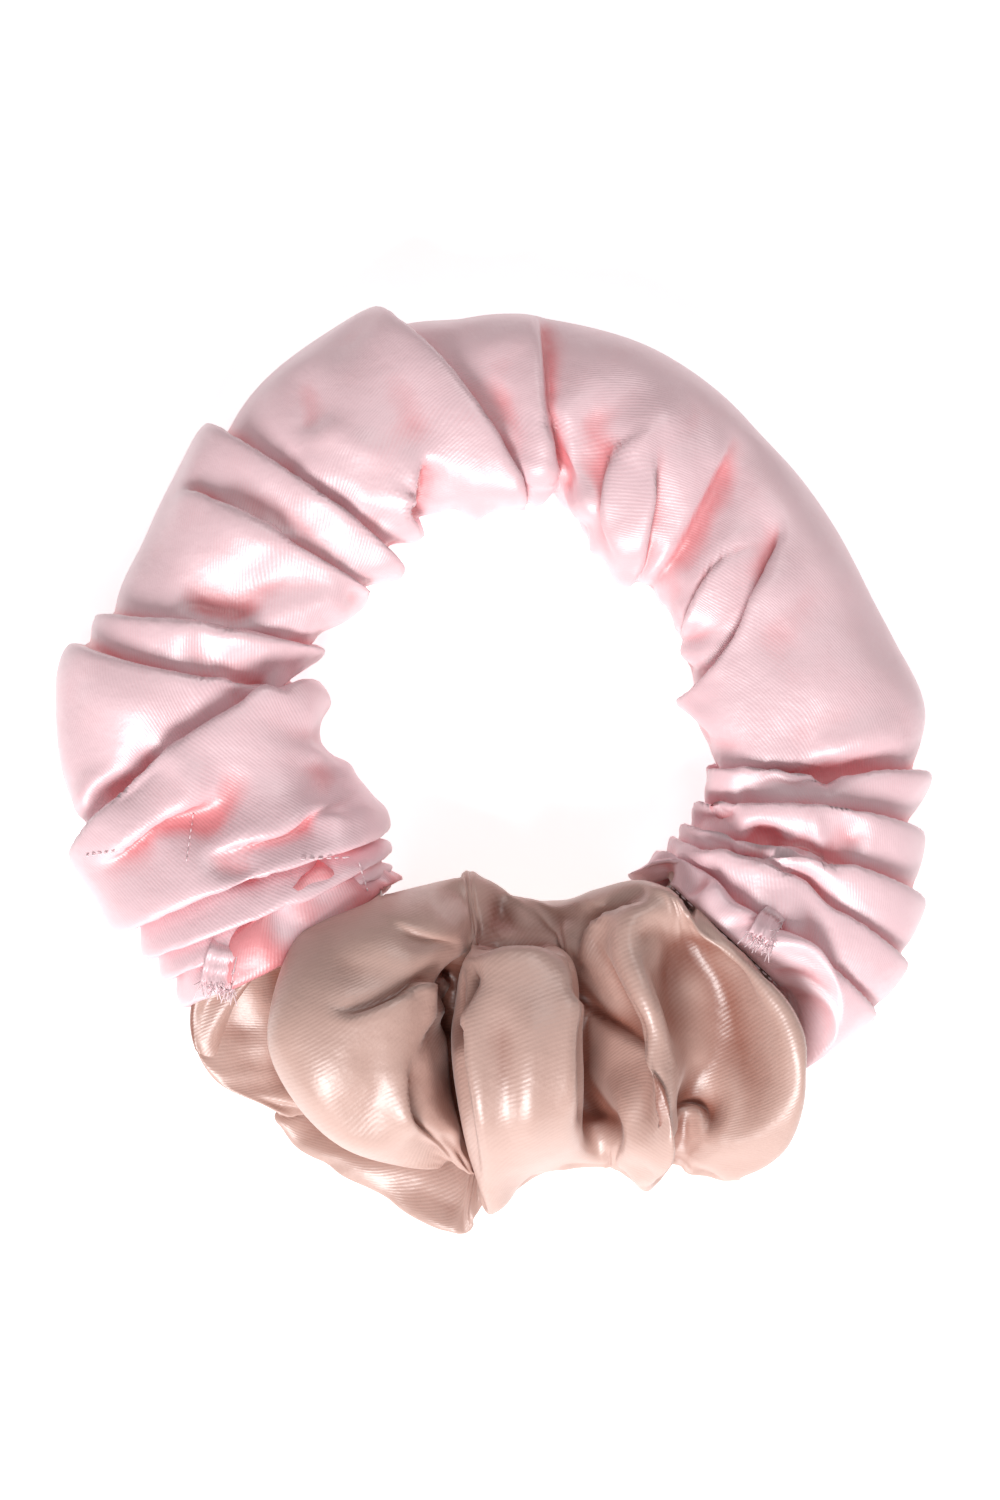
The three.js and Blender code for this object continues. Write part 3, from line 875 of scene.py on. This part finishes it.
def tubes(name, paths, radius, sides):
    """Round cords along many paths of equally many points, (paths, points, 3), as one mesh: each
    section is a circle across the path, and both ends are closed."""
    along = np.gradient(paths, axis=1)
    along /= np.linalg.norm(along, axis=-1, keepdims=True) + 1e-12
    across = np.cross(along, (0.31, 0.17, 0.93))
    across /= np.linalg.norm(across, axis=-1, keepdims=True)
    up = np.cross(along, across)
    turn = np.linspace(0, 2 * np.pi, sides, endpoint=False)[:, None]
    circle = across[:, :, None] * np.cos(turn) + up[:, :, None] * np.sin(turn)
    size = np.full(paths.shape[1], radius)
    size[[0, -1]] *= 0.5
    points = paths[:, :, None] + circle * size[None, :, None, None]
    count, steps = paths.shape[:2]
    index = np.arange(count * steps * sides).reshape(count, steps, sides)
    a, b = index[:, :-1], index[:, 1:]
    quads = np.stack([a, np.roll(a, -1, 2), np.roll(b, -1, 2), b], -1).reshape(-1, 4)
    ends = np.concatenate([index[:, 0, ::-1], index[:, -1]])
    mesh = bpy.data.meshes.new(name)
    mesh.from_pydata((points.reshape(-1, 3) * MM).tolist(), [], quads.tolist() + ends.tolist())
    mesh.shade_smooth()
    made = bpy.data.objects.new(name, mesh)
    scene.collection.objects.link(made)
    return made


FIBRES = 4000.0          # the noise scale of a thread's fibres


def spun(name, colour, shade):
    """Spun thread: two tones that turn round it in fine steps, and no gloss."""
    made, shader, start = shaded(name)
    tree = made.node_tree
    fine = start.noise(in_space(start), FIBRES, 1.0)
    tree.links.new((fine * 3.0 - 1.0).mix(colour, shade), shader.inputs["Base Color"])
    tree.links.new(fine.bump(0.00005, 0.5), shader.inputs["Normal"])
    shader.inputs["Roughness"].default_value = 0.6
    shader.inputs["Sheen Weight"].default_value = 0.3
    return made


UNDER = 0.9              # how near in plan a point of the cloth counts as under a place
NO_CLOTH = -9            # the height where there is none


def surface_under(grid, plan):
    """The height of the topmost cloth at places seen from above."""
    points = grid.reshape(-1, 3)
    apart = np.linalg.norm(points[None, :, :2] - plan[:, None, :], axis=-1)
    return np.where(apart < UNDER, points[None, :, 2], NO_CLOTH).max(1)


def raw_edge(name, plan, lift, width, seed):
    """Two layers of cloth that come out of a join one over the other, cut off raw, with loose threads.

    They follow a line seen from above, plan. They start 1.3 mm under the topmost cloth, come out of
    it within the first third, and then rise over it by 0.3 + lift * t.
    Across it each layer waves by 0.5 sin(2.6 pi (c + layer / 2)) t. The cut edge is uneven by up
    to a seventh.
    """
    rng = np.random.default_rng(seed)
    rows, columns = 14, 18
    t = np.linspace(0, 1, rows)[:, None]
    c = np.linspace(0, 1, columns)[None, :]
    seen = spline(np.array(plan, float), rows, False)
    top = np.maximum(surface_under(pink_grid, seen), surface_under(beige_grid, seen))
    middle = np.column_stack([seen, top + 0.3 - 1.6 * (1 - smooth(t[:, 0] * 3)) + lift * t[:, 0]])
    up = middle[-1] - middle[0]
    length = np.linalg.norm(up)
    up = up / length
    side = np.cross(up, (0, 0, 1))
    out = np.cross(side, up)
    layers = []
    for layer in (0, 1):
        ragged = 0.14 * length * rng.random(columns)
        bend = 0.5 * np.sin(2 * np.pi * (c + layer / 2) * 1.3) * t + (layer - 0.5) * (0.5 + 0.9 * t)
        spread = 1 + 0.25 * t
        layers.append(
            middle[:, None]
            + (width * (c - 0.5) * spread)[..., None] * side
            - (t * ragged)[..., None] * up
            + bend[..., None] * out
        )
    ring_points = np.concatenate([layers[1], layers[0][:, ::-1]], axis=1)
    piece = cloth_mesh(name, ring_points, True)
    tips = np.concatenate([layer[-1] for layer in layers] + [layer[4:, 0] for layer in layers])
    count = len(tips)
    away = up[None] * rng.uniform(0.5, 2.2, (count, 1)) + rng.normal(0, 0.7, (count, 3))
    away[:, 2] = np.abs(away[:, 2])
    t = np.linspace(0, 1, 6)[None, :, None]
    curl = rng.normal(0, 0.35, (count, 1, 3)) * t**2
    loose = tips[:, None] - 0.3 * up + (away[:, None] + 0.3 * up) * t + curl
    return piece, loose


def share_mesh(keep, add):
    """Adds one piece's mesh to another's, with its own material."""
    bpy.ops.object.select_all(action="DESELECT")
    add.select_set(True)
    keep.select_set(True)
    bpy.context.view_layer.objects.active = keep
    bpy.ops.object.join()


pink_thread = spun("pink_thread", (0.95, 0.80, 0.82), (0.88, 0.64, 0.68))
FRAY = 0.1               # the loose threads' radius
THREAD_SIDES = 5
# Each join's raw edge: its line seen from above, how far it lifts, its width and its seed.
TABS = {
    "left_seam_tab": ([(-45.4, -27.8), (-46.6, -32.4), (-47.2, -36.4)], 0.6, 4.6, 3),
    "right_seam_tab": ([(46.6, -22.8), (44.4, -24.9), (42.6, -28.2)], 0.6, 4.4, 5),
}
small = []
for node, (plan, lift, width, seed) in TABS.items():
    name = node.replace("seam_tab", "raw_edge")
    cut_edge, loose = raw_edge(name, plan, lift, width, seed)
    cut_edge.data.materials.append(pink_satin)
    frays = tubes(node + "_frays", loose, FRAY, THREAD_SIDES)
    frays.data.materials.append(pink_thread)
    share_mesh(cut_edge, frays)
    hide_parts(node)
    small.append(cut_edge)

# ---- Stitching ----
# Spun sewing thread: the long seam that closes each tube, the seam that joins the necks at either
# side, and a few stitches of the pink seam that show between its folds.


def stitches(places, length, pitch):
    """Short straight pieces along a line of points, each sinking at its two ends."""
    run = np.concatenate([[0], np.cumsum(np.linalg.norm(np.diff(places, axis=0), axis=1))])
    starts = np.arange(0, run[-1] - length, pitch)
    at = starts[:, None] + np.linspace(0, length, 5)[None, :]
    line = np.stack([np.interp(at, run, places[:, k]) for k in range(3)], -1)
    line[..., 2] += 0.15 * np.sin(np.linspace(0, np.pi, 5)) - 0.1
    return line


def seen_seam(grid, corners):
    """A line on the topmost cloth, from its corners seen from above."""
    plan = spline(np.array(corners, float), 40, False)
    return np.column_stack([plan, surface_under(grid, plan) + 0.15])


def along_cloth(grid, column, ends):
    """A line along the tube, a little outside its cloth, at one column of its points."""
    rows = slice(ends, len(grid) - ends)
    return (grid + 0.1 * facing(grid))[rows, column]


def finish_small(piece, material, node):
    """Gives a small piece its material and hides the model's part that it replaces."""
    piece.data.materials.append(material)
    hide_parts(node)
    small.append(piece)


THREAD = 0.14            # the threads' radius
LONG_STITCH = 1.6, 2.1   # the length and pitch of the stitches in the long seams,
SEEN_STITCH = 0.9, 1.5   # of those that show between the folds
JOIN_STITCH = 1.4, 2.0   # and of those that join the necks
PINK_SEAM = int(0.9 * PINK_COLUMNS)
BEIGE_SEAM = 134         # the columns that the long seams follow
beige_thread = spun("beige_thread", (0.45, 0.26, 0.20), (0.30, 0.16, 0.12))
# Where stitches of the pink seam show, each line seen from above.
SEEN_SEAMS = [
    [(-69, -14), (-63, -13.2)],
    [(-51, -7), (-52, -15)],
    [(-33, -14.5), (-25, -14.2)],
    [(-23.5, -15), (-22, -20)],
]
hidden = stitches(along_cloth(pink_grid, PINK_SEAM, 30), *LONG_STITCH)
seen = np.concatenate([stitches(seen_seam(pink_grid, line), *SEEN_STITCH) for line in SEEN_SEAMS])
pink_seam = tubes("pink_long_seam", np.concatenate([hidden, seen]), THREAD, THREAD_SIDES)
finish_small(pink_seam, pink_thread, "pink_long_seam_thread")
beige_line = along_cloth(beige_grid, BEIGE_SEAM, 20)
beige_stitches = stitches(beige_line, *LONG_STITCH)
beige_seam = tubes("beige_long_seam", beige_stitches, THREAD, THREAD_SIDES)
finish_small(beige_seam, beige_thread, "beige_long_seam_thread")
for node, (neck, _) in zip(("right_join_thread", "left_join_thread"), pink_necks):
    inside = neck - (neck - neck.mean(0)) * 0.03
    closed = np.concatenate([inside, inside[:1]])
    join_stitches = stitches(closed, *JOIN_STITCH)
    join = tubes(node.replace("thread", "stitches"), join_stitches, THREAD, THREAD_SIDES)
    finish_small(join, pink_thread, node)

# ---- Elastic ----
# A flat band of knitted elastic on its edge inside both sleeves, closed to a loop by laying one end
# over the other and sewing through both with a zigzag of needle thread and bobbin thread.

ELASTIC_LOW, ELASTIC_HIGH = (np.array(corner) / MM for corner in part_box("elastic_band"))
ELASTIC_WIDTH = ELASTIC_HIGH[2] - ELASTIC_LOW[2]
ELASTIC_MIDDLE_Z = (ELASTIC_HIGH[2] + ELASTIC_LOW[2]) / 2
elastic_radius = (ELASTIC_HIGH[0] - ELASTIC_LOW[0]) / 2 - ELASTIC_HALF
elastic_x = (ELASTIC_HIGH[0] + ELASTIC_LOW[0]) / 2
elastic_y = (ELASTIC_HIGH[1] + ELASTIC_LOW[1]) / 2
OVERLAP = 22.0           # degrees in which the two ends lie over each other
CLIMB = 1.5              # how far the upper end stands off the lower one
JOIN_ANGLE = 150         # where round the loop they lie
LOOP_PITCH = 0.0007      # from one knitted loop to the next, in metres
RIB_PITCH = 0.0006       # from one rib to the next
ZIGZAG_HALF = 1.8        # half the height of the zigzag
STAND_OFF = 0.8          # how far its threads lie from the middle of the band's end
elastic_thread = spun("elastic_thread", (0.90, 0.88, 0.84), (0.74, 0.72, 0.68))


def elastic_points(rows, columns):
    """A flat knitted band on its edge, with lengthwise ribs: its section is |x|^n + |z|^n = 1 with
    n = 6, its faces wave by 0.08 * cos(9 pi z), and its last 40 degrees climb onto its start."""
    turned = np.radians(np.linspace(JOIN_ANGLE - OVERLAP / 2, JOIN_ANGLE + 360 + OVERLAP / 2, rows))
    climb = CLIMB * smooth((np.degrees(turned) - JOIN_ANGLE - 320 - OVERLAP / 2) / 40)
    turn = np.linspace(0, 2 * np.pi, columns, endpoint=False)
    reach = (np.abs(np.cos(turn)) ** 6 + np.abs(np.sin(turn)) ** 6) ** (-1 / 6)
    x, z = np.cos(turn) * reach, -np.sin(turn) * reach
    x = x * (1 - 0.13 * (1 - np.cos(9 * np.pi * z)))
    radius = elastic_radius + climb[:, None] + x[None] * ELASTIC_HALF
    height = ELASTIC_MIDDLE_Z + z[None] * ELASTIC_WIDTH / 2 + 0 * radius
    return np.stack(
        [
            elastic_x + radius * np.cos(turned)[:, None],
            elastic_y + radius * np.sin(turned)[:, None],
            height,
        ],
        -1,
    )


def knit(name, colour, shade):
    """Knitted elastic: rubber cores under fine crossing yarns, matt."""
    made, shader, start = shaded(name)
    tree = made.node_tree
    u, v = on_cloth(start)
    along = u * (2 * math.pi / LOOP_PITCH)
    round_it = v * (2 * math.pi / RIB_PITCH)
    loops = along.math("SINE", along + round_it.math("SINE", round_it) * 1.5) * 0.5 + 0.5
    tree.links.new(loops.mix(shade, colour), shader.inputs["Base Color"])
    tree.links.new(loops.bump(0.0001, 0.6), shader.inputs["Normal"])
    shader.inputs["Roughness"].default_value = 0.85
    return made


elastic = cloth_mesh("knitted_elastic", elastic_points(400, 48), True)
elastic_knit = knit("elastic_knit", (0.90, 0.88, 0.84), (0.66, 0.63, 0.58))
finish_small(elastic, elastic_knit, "elastic_band")


def zigzag(offset):
    """Six zigzags over the overlap, standing off the band's middle by an offset."""
    step = np.linspace(0, 12, 121)
    angle = np.radians(JOIN_ANGLE + (OVERLAP - 4) * (step / 12 - 0.5))
    height = ELASTIC_MIDDLE_Z + ZIGZAG_HALF * (2 / np.pi) * np.arcsin(np.sin(np.pi * (step - 0.5)))
    radius = elastic_radius + offset
    x = elastic_x + radius * np.cos(angle)
    y = elastic_y + radius * np.sin(angle)
    return np.stack([x, y, height], -1)[None]


needle = tubes("elastic_needle_stitches", zigzag(CLIMB + STAND_OFF), THREAD, 6)
finish_small(needle, elastic_thread, "elastic_join_needle_thread")
bobbin = tubes("elastic_bobbin_stitches", zigzag(-STAND_OFF), THREAD, 6)
finish_small(bobbin, elastic_thread, "elastic_join_bobbin_thread")

# Each piece's placement is applied to its mesh points.
for piece in (pink, beige, *small):
    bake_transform(piece)
